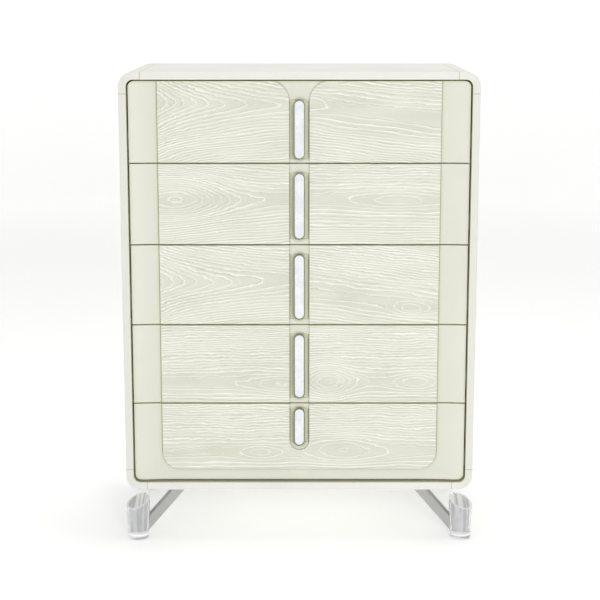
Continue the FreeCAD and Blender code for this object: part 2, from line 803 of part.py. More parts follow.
def cut_foot_top(body):
    """The slanting cut that leaves the foot lowest at the outer corner of the case."""
    drop = f"{BESIDE_FOOT} * tan(foot_cut_angle)"
    wedge = [
        (f"-{BESIDE_FOOT}", f"{FOOT_CUT_HEIGHT} - {drop}"),
        (BESIDE_FOOT, f"{FOOT_CUT_HEIGHT} + {drop}"),
        (BESIDE_FOOT, ABOVE_FOOT),
        (f"-{BESIDE_FOOT}", ABOVE_FOOT),
    ]
    prism(body, "XZ_Plane", "0", FOOT_SPAN, [wedge], cut=True, both_ways=True)


def bar_line(reach, sign, gap="0"):
    """Height of the bar's upper (1) or lower (-1) face at a distance from the foot's axis."""
    middle = f"bar_entry_height + ({reach} - bar_entry_reach) * tan(bar_angle)"
    return f"({middle} + {sign} * (bar_height / 2 + {gap}) / cos(bar_angle))"


def bar_reach(height, sign, gap="0"):
    """Distance from the foot's axis at which that face of the bar is at a height."""
    middle = f"({height} - bar_entry_height) - {sign} * (bar_height / 2 + {gap}) / cos(bar_angle)"
    return f"(bar_entry_reach + ({middle}) / tan(bar_angle))"


def make_leg(label, across, along):
    """One steel weldment: the core in the foot, the slanting flat bar and the mounting plate."""
    body = new_body(label)
    gap = "foot_wall + core_clearance"
    revolve(
        body,
        [
            ("0", "foot_base"),
            (f"{foot_radius('foot_base')} - ({gap})", "foot_base"),
            (f"{foot_radius(FOOT_BLANK_HEIGHT)} - ({gap})", FOOT_BLANK_HEIGHT),
            ("0", FOOT_BLANK_HEIGHT),
        ],
    )
    cut_foot_top(body)
    bar = [
        ("bar_root", "bar_foot_level"),
        (bar_reach("bar_foot_level", -1), "bar_foot_level"),
        (bar_reach(PLATE_UNDERSIDE, -1), PLATE_UNDERSIDE),
        (bar_reach(PLATE_UNDERSIDE, 1), PLATE_UNDERSIDE),
        ("bar_root", bar_line("bar_root", 1)),
    ]
    prism(body, "XZ_Plane", "0", "bar_width", [bar], both_ways=True)
    half = "plate_size / 2"
    plate = rectangle(f"{PLATE_REACH} - {half}", f"-{half}", f"{PLATE_REACH} + {half}", half)
    hole_radius = "leg_screw_radius + plate_screw_clearance"
    holes = [
        (f"{PLATE_REACH} + {x} * {PLATE_SCREW_OFFSET}", f"{y} * {PLATE_SCREW_OFFSET}", hole_radius)
        for x in (-1, 1)
        for y in (-1, 1)
    ]
    prism(body, "XY_Plane", PLATE_UNDERSIDE, "plate_thickness", [plate], circles=holes)
    place_leg(body, across, along)
    return body


def make_foot(label, across, along):
    """The clear sleeve with its solid base, cut off at a slant and slotted for the bar."""
    body = new_body(label)
    revolve(
        body,
        [
            ("0", "0"),
            ("foot_bottom_radius", "0"),
            (foot_radius(FOOT_BLANK_HEIGHT), FOOT_BLANK_HEIGHT),
            (f"{foot_radius(FOOT_BLANK_HEIGHT)} - foot_wall", FOOT_BLANK_HEIGHT),
            (f"{foot_radius('foot_base')} - foot_wall", "foot_base"),
            ("0", "foot_base"),
        ],
    )
    cut_foot_top(body)
    root, level = "(bar_root - bar_clearance)", "(bar_foot_level - bar_clearance)"
    slot = [
        (root, level),
        (bar_reach(level, -1, "bar_clearance"), level),
        (BESIDE_FOOT, bar_line(BESIDE_FOOT, -1, "bar_clearance")),
        (BESIDE_FOOT, ABOVE_FOOT),
        (root, ABOVE_FOOT),
    ]
    width = "bar_width + 2 * bar_clearance"
    prism(body, "XZ_Plane", "0", width, [slot], cut=True, both_ways=True)
    place_leg(body, across, along)
    return body


def make_legs():
    made = []
    for end, along in ENDS.items():
        for side, across in SIDES.items():
            made.append(make_leg(f"leg_{end}_{side}", across, along))
            made.append(make_foot(f"foot_{end}_{side}", across, along))
    screws = [
        screw(
            f"leg_screw_{number}",
            (x, y, PLATE_UNDERSIDE),
            (0, 0, 1),
            "leg_screw_radius",
            "(plate_thickness + leg_screw_grip)",
            "leg_screw_head_radius",
            "leg_screw_head_height",
        )
        for number, (x, y) in enumerate(leg_screw_places(), start=1)
    ]
    made.append(compound("leg_screws", screws))
    return made


# ---- assembly -------------------------------------------------------------------------------


def check_document():
    """Every feature computed, every sketch is fully defined and every cut takes something away."""
    for thing in doc.Objects:
        if {"Invalid", "Error"} & set(thing.State):
            raise RuntimeError(f"{thing.Label} did not compute: {thing.State}")
        if thing.TypeId == "Sketcher::SketchObject" and not thing.FullyConstrained:
            raise RuntimeError(f"{thing.Label} is not fully constrained")
        if thing.TypeId in ("PartDesign::Pocket", "PartDesign::SubtractivePipe"):
            if thing.Shape.Volume >= thing.BaseFeature.Shape.Volume - 1e-3:
                raise RuntimeError(f"{thing.Label} cuts nothing")


def export(nodes):
    os.makedirs("parts", exist_ok=True)
    for node in nodes:
        if not node.Shape.isValid() or not node.Shape.Solids:
            raise RuntimeError(f"{node.Label} has no valid solid")
        node.Shape.exportStep(f"parts/{node.Label}.step")


nodes = [*make_flat_panels(), *make_side_panels(), *make_corner_blocks(), make_back_panel()]
nodes += [make_divider_rails(), make_cabinet_members(), *make_legs()]
for drawer in DRAWERS:
    nodes += make_drawer(drawer)
doc.recompute()
check_document()
export(nodes)
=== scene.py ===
import math

import bmesh
import bpy
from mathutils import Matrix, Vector


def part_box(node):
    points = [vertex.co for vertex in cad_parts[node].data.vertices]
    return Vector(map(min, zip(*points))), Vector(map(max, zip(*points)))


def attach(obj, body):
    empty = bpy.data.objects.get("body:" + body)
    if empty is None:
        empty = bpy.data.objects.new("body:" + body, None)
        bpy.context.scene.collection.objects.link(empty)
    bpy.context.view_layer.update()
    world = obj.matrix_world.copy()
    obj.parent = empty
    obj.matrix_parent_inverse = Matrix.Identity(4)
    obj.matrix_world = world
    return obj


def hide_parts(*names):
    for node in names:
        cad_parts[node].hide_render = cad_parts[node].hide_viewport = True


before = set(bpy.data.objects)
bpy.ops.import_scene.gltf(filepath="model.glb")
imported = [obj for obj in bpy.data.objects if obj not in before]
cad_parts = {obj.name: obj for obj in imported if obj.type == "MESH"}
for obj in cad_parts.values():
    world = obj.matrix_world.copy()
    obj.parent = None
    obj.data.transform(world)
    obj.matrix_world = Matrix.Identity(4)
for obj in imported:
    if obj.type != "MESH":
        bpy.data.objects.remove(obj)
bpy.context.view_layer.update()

DRAWERS = (1, 2, 3, 4, 5)

# meshes: what counts as an edge, as one flat face and as one corner
SHARP = math.radians(24)
FLAT = math.radians(0.4)
SAME_PLACE = 2e-5
ON_PLANE = 1e-4

# radii of the eased edges, and the share of them that inner edges get
CASE_EASE = 0.0022
FRONT_EASE = 0.0018
PANEL_EASE = 0.0009
INLAY_EASE = 0.0005
LEG_EASE = 0.0009
JOINT_SHARE = 0.2
INNER_SHARE = 0.55

# thicknesses that a finish has to know
SLEEVE_WALL = 0.0045
BOX_WALL = 0.0121
PLY_LAYER = 0.0015

# how strongly painted shade lies in corners, and how far an edge mask reaches for worn paint
# and painted edge highlights
CORNER_SHADE_SHARE = 0.85
EDGE_REACH = 0.06

# ---------------------------------------------------------------- colours


def tone(red, green, blue):
    """A colour given as 0 to 255 screen values, as the shaders want it."""

    def linear(part):
        part /= 255
        if part <= 0.04045:
            return part / 12.92
        return ((part + 0.055) / 1.055) ** 2.4

    return (linear(red), linear(green), linear(blue), 1.0)


def scaled(colour, factor):
    """A colour made darker, or paler as far as white."""
    return tuple(min(1.0, part * factor) for part in colour[:3]) + (1.0,)


# ---------------------------------------------------------------- shader arithmetic


class Term:
    """A value in a shader, which ordinary arithmetic turns into Math nodes."""

    def __init__(self, shader, socket):
        self.shader = shader
        self.socket = socket

    def __add__(self, other):
        return self.shader.math("ADD", self, other)

    def __radd__(self, other):
        return self.shader.math("ADD", other, self)

    def __sub__(self, other):
        return self.shader.math("SUBTRACT", self, other)

    def __rsub__(self, other):
        return self.shader.math("SUBTRACT", other, self)

    def __mul__(self, other):
        return self.shader.math("MULTIPLY", self, other)

    def __rmul__(self, other):
        return self.shader.math("MULTIPLY", other, self)

    def __truediv__(self, other):
        return self.shader.math("DIVIDE", self, other)


class Shader:
    """One material round a Principled BSDF, with short calls for the nodes that it needs."""

    def __init__(self, name):
        self.material = bpy.data.materials.new(name)
        self.material.use_nodes = True
        self.tree = self.material.node_tree
        self.tree.nodes.clear()
        self.bsdf = self.tree.nodes.new("ShaderNodeBsdfPrincipled")
        output = self.tree.nodes.new("ShaderNodeOutputMaterial")
        self.tree.links.new(self.bsdf.outputs[0], output.inputs["Surface"])
        self.place = self.make("ShaderNodeTexCoord").outputs["Object"]
        split = self.make("ShaderNodeSeparateXYZ", Vector=self.place)
        self.x, self.y, self.z = (Term(self, socket) for socket in split.outputs)

    def plug(self, socket, value):
        if isinstance(value, Term):
            value = value.socket
        if isinstance(value, bpy.types.NodeSocket):
            self.tree.links.new(value, socket)
        else:
            socket.default_value = value

    def make(self, kind, settings=(), **inputs):
        node = self.tree.nodes.new(kind)
        for name, value in dict(settings).items():
            setattr(node, name, value)
        for name, value in inputs.items():
            self.plug(node.inputs[name.replace("_", " ")], value)
        return node

    def math(self, operation, *values):
        node = self.make("ShaderNodeMath", {"operation": operation})
        for socket, value in zip(node.inputs, values):
            self.plug(socket, value)
        return Term(self, node.outputs[0])

    def span(self, value, low, high, to_low=0.0, to_high=1.0):
        """The value, taken smoothly from one range to another and held at its ends."""
        node = self.make("ShaderNodeMapRange", {"interpolation_type": "SMOOTHSTEP"})
        for socket, given in zip(node.inputs, (value, low, high, to_low, to_high)):
            self.plug(socket, given)
        return Term(self, node.outputs[0])

    def blend(self, low, high, share):
        """A colour between two others."""
        node = self.make("ShaderNodeMix", {"data_type": "RGBA"})
        self.plug(node.inputs["Factor"], share)
        self.plug(node.inputs[6], low)
        self.plug(node.inputs[7], high)
        return node.outputs[2]

    def stretched(self, sizes, shift=(0.0, 0.0, 0.0)):
        """Object coordinates with the given length, in metres, along each axis as the unit."""
        node = self.make("ShaderNodeMapping", Vector=self.place)
        node.inputs["Scale"].default_value = tuple(1 / size for size in sizes)
        node.inputs["Location"].default_value = shift
        return node.outputs["Vector"]

    def noise(self, sizes, shift=(0.0, 0.0, 0.0), detail=2.0, roughness=0.5):
        node = self.make(
            "ShaderNodeTexNoise", Vector=self.stretched(sizes, shift), Scale=1.0, Detail=detail
        )
        node.inputs["Roughness"].default_value = roughness
        return Term(self, node.outputs["Fac"])

    def cells(self, sizes, feature, output):
        node = self.make("ShaderNodeTexVoronoi", {"feature": feature}, Scale=1.0)
        self.plug(node.inputs["Vector"], self.stretched(sizes))
        return node.outputs[output]

    def chance(self, number):
        """A value from 0 to 1 that is the same wherever the number is the same."""
        node = self.make("ShaderNodeTexWhiteNoise", {"noise_dimensions": "1D"}, W=number)
        return Term(self, node.outputs["Value"])

    def openness(self, reach):
        """1 where nothing stands within reach, and less in a corner or a gap."""
        node = self.make("ShaderNodeAmbientOcclusion", {"samples": 6}, Distance=reach)
        return Term(self, node.outputs["AO"])

    def upward(self):
        """1 on faces that look up, 0 on upright ones."""
        normal = self.make("ShaderNodeNewGeometry").outputs["True Normal"]
        return Term(self, self.make("ShaderNodeSeparateXYZ", Vector=normal).outputs["Z"])

    def edge(self, radius):
        """1 along an edge of the piece and 0 on its flat faces."""
        rounded = self.make("ShaderNodeBevel", {"samples": 4}, Radius=radius)
        true = self.make("ShaderNodeNewGeometry")
        dot = self.make("ShaderNodeVectorMath", {"operation": "DOT_PRODUCT"})
        self.plug(dot.inputs[0], rounded.outputs[0])
        self.plug(dot.inputs[1], true.outputs["Normal"])
        return self.span(1 - Term(self, dot.outputs["Value"]), 0.0, EDGE_REACH)

    def with_painted_shade(self, base, corner, gap_light, reach, share=CORNER_SHADE_SHARE):
        """A colour with painted shade that lies darker in corners, and painted light that makes
        it paler far down in a gap.
        """
        openness = self.openness(reach)
        # painted shade in corners, and painted light far down in gaps
        painted_shade = self.blend(corner, gap_light, self.span(openness, 0.48, 0.2))
        return self.blend(base, painted_shade, self.span(openness, 0.96, 0.58) * share)

    def bump(self, height, distance, strength=1.0):
        node = self.make("ShaderNodeBump", Height=height, Distance=distance, Strength=strength)
        self.plug(self.bsdf.inputs["Normal"], node.outputs["Normal"])

    def finish(self, colour, roughness, **fixed):
        self.plug(self.bsdf.inputs["Base Color"], colour)
        self.plug(self.bsdf.inputs["Roughness"], roughness)
        for name, value in fixed.items():
            self.bsdf.inputs[name.replace("_", " ")].default_value = value
        return self.material


# ---------------------------------------------------------------- materials


def hollow_shade_and_light(s, base, cove):
    """The colour in the hollow round a front's panels, with painted shade and painted light,
    and how much painted corner shade it takes.

    cove says where the hollow begins aside (x) and below (z), how wide it is there (wide,
    low), its painted shade tone, how far above its lower edge the panels' shadow ends (end),
    half the middle channel's width (channel) and where its finger recess begins behind (face).
    """
    aside = s.math("ABSOLUTE", s.x)
    beside = (aside - cove["x"]) / cove["wide"]
    below = (cove["z"] - s.z) / cove["low"]
    out = s.math("MAXIMUM", beside, below)
    beyond_channel = s.span(aside, 0.03, 0.06)
    inside = s.math("MAXIMUM", beyond_channel, s.math("GREATER_THAN", below, 0.0))
    # painted shade: the hollow painted darker towards the panels
    base = s.blend(base, cove["tone"], s.span(out, 1.0, 0.05) * inside * 0.8)

    # a thin shadow line along the panels' outer edges, stronger on the left
    shadow = s.span(s.math("ABSOLUTE", aside - cove["x"] - 0.0008), 0.0019, 0.0007)
    shadow = shadow * s.math("GREATER_THAN", s.z, cove["end"])
    base = s.blend(base, tone(140, 143, 98), shadow * s.span(s.x, 0.0, -0.1, 0.35, 0.75))

    # the channel between the panels painted a little darker, painted light on the finger
    # recess's floor, and a painted shadow on the recess's side walls
    channel = s.span(aside, cove["channel"] + 0.002, cove["channel"])
    above = s.math("LESS_THAN", below, 0.0)
    recess = channel * s.span(s.y, cove["face"], cove["face"] + 0.002)
    wall = recess * s.span(aside, cove["channel"] - 0.003, cove["channel"])
    base = s.blend(base, tone(210, 211, 196), channel * above * 0.6)
    base = s.blend(base, tone(247, 249, 216), recess)
    base = s.blend(base, tone(172, 175, 128), wall)
    # the finger recess's floor takes less painted corner shade
    return base, CORNER_SHADE_SHARE - recess * 0.7


def satin_paint(name, colour, worn, seams=(), cove=None, clouding=0.95):
    """Sprayed satin lacquer: soft orange peel, faint clouding, thinner on the edges, with
    painted shade in corners and painted light far down in gaps.

    seams are rows of axis and place, the fine joints between boards; with them the case's sides
    also get painted shade. cove describes the hollow round a front's panels, with its painted
    shade and light. clouding is how dark the clouds are beside the colour.
    """
    s = Shader(name)
    painted_shade = CORNER_SHADE_SHARE
    cloud = s.noise((0.28, 0.28, 0.28), detail=3)
    speck = s.noise((0.004, 0.004, 0.004), detail=3, roughness=0.65)
    wear = s.edge(0.0016) * s.span(s.noise((0.05, 0.05, 0.05), detail=4), 0.35, 0.7)
    base = s.blend(scaled(colour, clouding), colour, s.span(cloud, 0.3, 0.62))
    if seams:
        # painted shade: the case's sides painted darker towards the outside, where they turn
        # from the light
        side_shade = s.span(s.math("ABSOLUTE", s.x), 0.40, 0.44)
        base = s.blend(base, tone(216, 217, 206), side_shade * 0.8)
    if cove:
        base, painted_shade = hollow_shade_and_light(s, base, cove)
    base = s.blend(base, worn, wear * 0.55)
    for axis, place in seams:
        across = s.math("ABSOLUTE", s.math("ABSOLUTE", (s.x, s.y, s.z)[axis]) - place)
        base = s.blend(base, tone(168, 168, 148), s.span(across, 0.0011, 0.0006) * 0.85)
    # painted shade darker in corners, and painted light paler far down in gaps
    base = s.with_painted_shade(base, tone(160, 162, 118), tone(248, 250, 212), 0.011, painted_shade)
    if cove:
        # painted shade in the tight creases round the panels
        near = s.openness(0.0035)
        crease_shade = s.span(near, 0.88, 0.55) * s.span(near, 0.12, 0.3)
        base = s.blend(base, tone(146, 149, 104), crease_shade * 0.6)
    peel = s.noise((0.0022, 0.0022, 0.0022), detail=2)
    s.bump(peel + speck * 0.3, 0.00005, 0.5)
    return s.finish(base, 0.36 + speck * 0.14 - wear * 0.08, Specular_IOR_Level=0.42)


# a leaf's arches open along this share of its width, and its rings crowd together over
# this distance from the heart line
OPENING = 0.45
CROWDING = 0.42


def leaf(s, box_low, box_high, heart, tilt, taper, flat, spacing, eyes, seed):
    """A plain-sawn leaf: arches about a heart line, with closed eyes where it dips.

    heart is a share of the leaf's height, tilt its slope, taper how fast the arches open,
    flat the width of their tips, spacing the rings' distance; eyes are rows of
    place along, place up, reach along, reach up and depth in rings.
    """
    wide = box_high[0] - box_low[0]
    tall = box_high[2] - box_low[2]
    jag = s.noise((0.013, 1.0, 0.008), (seed, 0, seed), detail=2) - 0.5
    along = s.x - box_low[0] + jag * 0.020
    slow = s.noise((0.16, 1.0, 0.05), (seed, 0, 0), detail=2) - 0.5
    quick = s.noise((0.028, 1.0, 0.012), (0, seed, 0), detail=3) - 0.5
    up = s.z - (box_low[2] + heart * tall) - along * tilt + slow * 0.022 + quick * 0.0045
    away = s.math("SQRT", up * up + flat * flat)
    fading = s.math("EXPONENT", along / (-OPENING * wide))
    rings = (away - (1 - fading) * (OPENING * wide * taper)) / spacing
    rings = rings + away * away / (spacing * CROWDING)
    # no ring begins on the heart line itself, where it would spread into a patch
    rings = rings + (0.55 - flat / spacing - flat * flat / (spacing * CROWDING))
    steep = up / away
    # how fast the rings follow each other aside and upwards, for lines of even width
    rise_rate = steep * (1 + away * (2 / CROWDING)) / spacing
    run_rate = fading * (-taper / spacing) - rise_rate * tilt
    for place, height, reach, rise, depth in eyes:
        ex = (along - place * wide) / reach
        ez = (s.z - (box_low[2] + height * tall)) / rise
        swell = depth * s.math("EXPONENT", -1.0 * (ex * ex + ez * ez))
        rings = rings + swell
        run_rate = run_rate - swell * ex * (2 / reach)
        rise_rate = rise_rate - swell * ez * (2 / rise)
    grade = s.math("SQRT", run_rate * run_rate + rise_rate * rise_rate + (0.12 / spacing) ** 2)
    return rings + quick * 0.5, grade


LEAVES = {
    # drawer: (left leaf, right leaf), each heart, tilt, taper, flat, spacing, eyes
    1: (
        (0.74, -0.02, -0.62, 0.012, 0.0100, ()),
        (0.72, -0.11, 0.02, 0.030, 0.0098, ((0.05, 0.74, 0.05, 0.020, -1.6),)),
    ),
    2: (
        (0.56, 0.00, -0.20, 0.018, 0.0100, ((0.16, 0.58, 0.105, 0.066, -6.6),)),
        (0.56, -0.01, 0.02, 0.022, 0.0094, ((0.70, 0.56, 0.10, 0.022, -1.8),)),
    ),
    3: (
        (0.55, 0.00, -0.50, 0.014, 0.0100, ()),
        (0.42, -0.12, -0.02, 0.030, 0.0096, ((0.80, 0.20, 0.045, 0.018, -2.6),)),
    ),
    4: (
        (0.25, 0.00, 0.03, 0.022, 0.0092, ((0.88, 0.25, 0.07, 0.022, -2.2),)),
        (0.27, 0.00, -0.02, 0.022, 0.0098,
         ((0.21, 0.27, 0.055, 0.050, -4.5), (0.84, 0.27, 0.05, 0.022, -2.5))),
    ),
    5: (
        (0.26, 0.00, 0.00, 0.024, 0.0094, ((0.72, 0.27, 0.045, 0.018, -2.0),)),
        (0.28, 0.00, 0.00, 0.024, 0.0094, ((0.33, 0.32, 0.09, 0.040, -2.6),)),
    ),
}


def limed_ash(name, drawer):
    """Open-pored ash veneer, limed: pale lines of filled pores over a cream ground."""
    s = Shader(name)
    low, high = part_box(f"drawer_{drawer}_grain_panels")
    middle = (low.x + high.x) / 2
    left_high = Vector((middle, high.y, high.z))
    right_low = Vector((middle, low.y, low.z))
    left, right = LEAVES[drawer]
    rings_a, grade_a = leaf(s, low, left_high, *left, seed=drawer * 3.7)
    rings_b, grade_b = leaf(s, right_low, high, *right, seed=drawer * 5.3 + 11)
    side = s.span(s.x, middle - 0.02, middle + 0.02)
    rings = rings_a + (rings_b - rings_a) * side
    grade = grade_a + (grade_b - grade_a) * side
    part = s.math("FRACT", rings)
    ring = s.math("FLOOR", rings)
    after = part / grade
    before = (1 - part) / grade
    # each ring's line has its own strength, which also comes and goes along it
    broken = s.noise((0.030, 1.0, 0.010), (drawer, 0, 3), detail=3)
    strength = (0.4 + s.chance(ring) * 0.6) * s.span(broken, 0.25, 0.6, 0.4, 1.0)
    line = s.span(after, 0.0038, 0.0004)
    line = s.math("MAXIMUM", line, s.span(before, 0.0010, 0.0)) * strength
    # two fainter lines lie between each two rings
    fine = rings * 3.0
    faint = s.span(s.math("FRACT", fine) / (grade * 3.0), 0.0017, 0.0002)
    faint = faint * s.chance(s.math("FLOOR", fine)) * s.span(broken, 0.6, 0.35, 0.2, 0.75)
    line = s.math("MAXIMUM", line, faint)
    flank = s.span(before, 0.0042, 0.0012) * s.span(before, 0.0, 0.0010) * strength
    pores = s.noise((0.016, 1.0, 0.0009), (0, 0, drawer), detail=2, roughness=0.6)
    pore = s.span(pores, 0.56, 0.74) * s.span(part, 0.75, 0.0)
    cloud = s.noise((0.16, 1.0, 0.05), (drawer, 2, 0), detail=3)
    ground = s.blend(tone(205, 205, 191), tone(215, 215, 202), s.span(cloud, 0.3, 0.7))
    # painted shade: the flank beside each line painted darker, the shade of its relief, which
    # the bump also raises
    base = s.blend(ground, tone(182, 182, 165), flank * 0.6)
    base = s.blend(base, tone(243, 243, 235), s.math("MINIMUM", line + pore * 0.3, 1.0))
    # painted highlight: the panel's edges painted paler
    base = s.blend(base, tone(232, 232, 222), s.edge(0.0012) * 0.4)
    # painted shade darker in corners, and painted light paler far down in gaps
    base = s.with_painted_shade(base, tone(150, 152, 108), tone(225, 227, 186), 0.008)
    fibre = s.noise((0.05, 1.0, 0.0007), (drawer, 0, 0), detail=2)
    s.bump(line * -1.0 + pore * -0.5 + flank * 0.5 + fibre * 0.25, 0.0003, 0.55)
    return s.finish(base, 0.46 + line * 0.16 + fibre * 0.08, Specular_IOR_Level=0.38)


def plain_wood(name, light, dark, ply=None):
    """Straight-grained timber or birch ply, with its layers on the sawn edges.

    ply gives a layer's thickness and where the side walls begin, whose grain runs back.
    """
    s = Shader(name)
    long, thin = 0.11, 0.0035
    if ply:
        wall = s.math("GREATER_THAN", s.math("ABSOLUTE", s.x), ply["side"])

    def grained(scale, detail, roughness=0.5):
        sizes = long * scale, thin * scale, thin * scale
        run = s.noise(sizes, detail=detail, roughness=roughness)
        if not ply:
            return run
        turned = s.noise((sizes[1], sizes[0], sizes[2]), detail=detail, roughness=roughness)
        return run + (turned - run) * wall

    streak = grained(1, 4, 0.6)
    fleck = s.span(grained(0.35, 1), 0.62, 0.75)
    base = s.blend(dark, light, s.span(streak * 0.6 + grained(6, 2) * 0.4, 0.34, 0.62))
    base = s.blend(base, dark, fleck * 0.35)
    if ply:
        flat = s.span(s.math("ABSOLUTE", s.upward()), 0.7, 0.9)
        across = s.y + (s.x - s.y) * wall
        layer = s.math("PINGPONG", across, ply["layer"]) / ply["layer"]
        base = s.blend(base, dark, flat * s.span(layer, 0.35, 0.65) * 0.8)
    s.bump(streak + fleck * -0.6, 0.0002, 0.4)
    return s.finish(base, 0.5 + streak * 0.2)


def zinc_steel(name, colour):
    """Zinc-plated sheet: faint spangle, roller marks along the slide, dull in patches."""
    s = Shader(name)
    spangle = s.cells((0.009, 0.009, 0.009), "F1", "Color")
    spangle = s.make("ShaderNodeRGBToBW", Color=spangle).outputs[0]
    marks = s.noise((0.0012, 0.09, 0.0012), detail=3)
    dust = s.noise((0.03, 0.03, 0.03), detail=4)
    shade = s.span(Term(s, spangle) * 0.5 + marks * 0.5, 0.2, 0.75)
    base = s.blend(scaled(colour, 0.72), colour, shade)
    s.bump(marks, 0.00006, 0.35)
    return s.finish(base, 0.28 + marks * 0.14 + s.span(dust, 0.4, 0.7) * 0.1, Metallic=1.0)


def brushed_metal(name, colour, sizes, rough, edge_highlight=0.6, core=None):
    """Satin metal with fine brush lines along its longest grain size.

    The share after rough is how pale the painted highlight on its edges is. core is the place
    aside and ahead and the radius of upright cores, which are sawn on top; beyond them the
    metal is blasted.
    """
    s = Shader(name)
    lines = s.noise(sizes, detail=3, roughness=0.7)
    if core:
        aside = s.math("ABSOLUTE", s.x) - core[0]
        ahead = s.math("ABSOLUTE", s.y) - core[1]
        beyond = s.span(aside * aside + ahead * ahead, core[2] ** 2, core[2] ** 2 * 1.1)
        blasted = s.noise((0.0016, 0.0016, 0.0016), detail=3)
        lines = lines + (blasted - lines) * beyond
    broad = s.noise(tuple(size * 9 for size in sizes), detail=2)
    smudge = s.noise((0.02, 0.02, 0.02), detail=3)
    metal = 1.0
    if core:
        streak = s.span(s.noise((0.007, 0.007, 0.5), detail=1), 0.38, 0.6)
        broad = broad + (streak - broad) * (1 - beyond)
    dark = scaled(colour, 0.62)
    base = s.blend(dark, colour, s.span(lines * 0.6 + broad * 0.4, 0.33, 0.6))
    # painted highlight: the edges painted paler
    base = s.blend(base, scaled(colour, 1.5), s.edge(0.001) * edge_highlight)
    if core:
        sawn = s.span(s.upward(), 0.5, 0.85) * (1 - beyond)
        saw = s.span(s.noise((0.007, 0.3, 0.3), (3, 0, 0), detail=2), 0.35, 0.62)
        base = s.blend(base, dark, beyond * 0.95)
        base = s.blend(base, s.blend(tone(196, 196, 197), tone(246, 246, 246), saw), sawn)
        metal = 1 - sawn * 0.85
    s.bump(lines, 0.00004, 0.5)
    s.plug(s.bsdf.inputs["Metallic"], metal)
    return s.finish(base, rough + lines * 0.16 + s.span(smudge, 0.4, 0.7) * 0.06)


def crackled_stone(name):
    """White crushed-shell inlay: small facets with faint cold glints and hairline joints."""
    s = Shader(name)
    facet = s.cells((0.0042, 0.0042, 0.0042), "F1", "Color")
    glint = Term(s, s.make("ShaderNodeSeparateColor", Color=facet).outputs[0])
    joint = Term(s, s.cells((0.0042, 0.0042, 0.0042), "DISTANCE_TO_EDGE", "Distance"))
    cloud = s.noise((0.03, 0.03, 0.03), detail=4)
    base = s.blend(tone(224, 226, 229), tone(236, 237, 238), s.span(cloud, 0.35, 0.65))
    base = s.blend(base, tone(206, 209, 219), s.span(glint, 0.72, 1.0) * 0.5)
    base = s.blend(tone(212, 214, 220), base, s.span(joint, 0.0, 0.07))
    s.bump(s.span(joint, 0.0, 0.1) + glint * 0.5, 0.00012, 0.4)
    return s.finish(base, 0.12 + glint * 0.2, Coat_Weight=0.4, Coat_Roughness=0.06)


def clear_acrylic(name):
    """Cast acrylic, polished on its wall and base, and left frosted white where it is cut.

    A narrow white band goes round it just above its base.
    """
    s = Shader(name)
    rub = s.noise((0.02, 0.02, 0.02), detail=4)
    rings = s.noise((0.2, 0.2, 0.0012), detail=1)
    s.bump(rings * 0.4 + rub * 0.6, 0.00003, 0.3)
    tint = s.blend(tone(252, 252, 253), tone(247, 248, 250), s.span(rub, 0.35, 0.7))
    band = s.span(s.z, 0.0085, 0.0095) * s.span(s.z, 0.0145, 0.0135)
    cut = s.math("MAXIMUM", s.span(s.upward(), 0.35, 0.8), band)
    s.plug(s.bsdf.inputs["Transmission Weight"], 0.8 - cut * 0.7)
    return s.finish(tint, 0.03 + s.span(rub, 0.5, 0.75) * 0.06 + cut * 0.3, IOR=1.49)


# ---------------------------------------------------------------- pieces


def whole_faces(node, name):
    """A mesh to stand for a CAD node, and its edit with the flat faces made whole again."""
    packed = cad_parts[node].data
    mesh = bpy.data.meshes.new(name)
    corners = [vertex.co for vertex in packed.vertices]
    mesh.from_pydata(corners, [], [face.vertices for face in packed.polygons])
    work = bmesh.new()
    work.from_mesh(mesh)
    bmesh.ops.remove_doubles(work, verts=work.verts, dist=SAME_PLACE)
    bmesh.ops.dissolve_limit(
        work,
        angle_limit=FLAT,
        use_dissolve_boundaries=False,
        verts=work.verts,
        edges=work.edges,
        delimit={"NORMAL"},
    )
    return mesh, work


def weigh_edges(work, share_of):
    """Gives every sharp edge its share of the bevel's radius as its weight."""
    weights = work.edges.layers.float.new("bevel_weight_edge")
    for edge in work.edges:
        if len(edge.link_faces) == 2 and edge.calc_face_angle(0.0) > SHARP:
            edge[weights] = share_of(edge)


def soft_piece(node, material, body, radius, steps=3, share_of=lambda edge: 1.0):
    """A piece that stands for a CAD node, with its edges eased to a radius."""
    mesh, work = whole_faces(node, f"{node}_made")
    weigh_edges(work, share_of)
    work.to_mesh(mesh)
    work.free()
    mesh.polygons.foreach_set("use_smooth", [True] * len(mesh.polygons))
    mesh.set_sharp_from_angle(angle=SHARP)
    mesh.materials.append(material)
    piece = bpy.data.objects.new(f"{node}_made", mesh)
    bpy.context.scene.collection.objects.link(piece)
    ease = piece.modifiers.new("ease", "BEVEL")
    ease.width = radius
    ease.segments = steps
    ease.limit_method = "WEIGHT"
    ease.harden_normals = True
    ease.use_clamp_overlap = True
    ease.miter_outer = "MITER_ARC"
    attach(piece, body)
    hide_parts(node)


def dress(node, material):
    """Gives a CAD node that stays as it is its finish."""
    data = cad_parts[node].data
    data.materials.clear()
    data.materials.append(material)


def on_joint(planes):
    """An edge's share of the radius: little where two boards meet, and whole elsewhere."""

    def share_of(edge):
        for axis, value in planes:
            if all(abs(abs(vertex.co[axis]) - value) < ON_PLANE for vertex in edge.verts):
                return JOINT_SHARE
        return 1.0

    return share_of


def on_rim(low, high):
    """An edge's share of the radius: whole round a front's outside, and less within it."""

    def share_of(edge):
        for axis in (0, 2):
            for value in (low[axis], high[axis]):
                if all(abs(vertex.co[axis] - value) < ON_PLANE for vertex in edge.verts):
                    return 1.0
        return INNER_SHARE

    return share_of


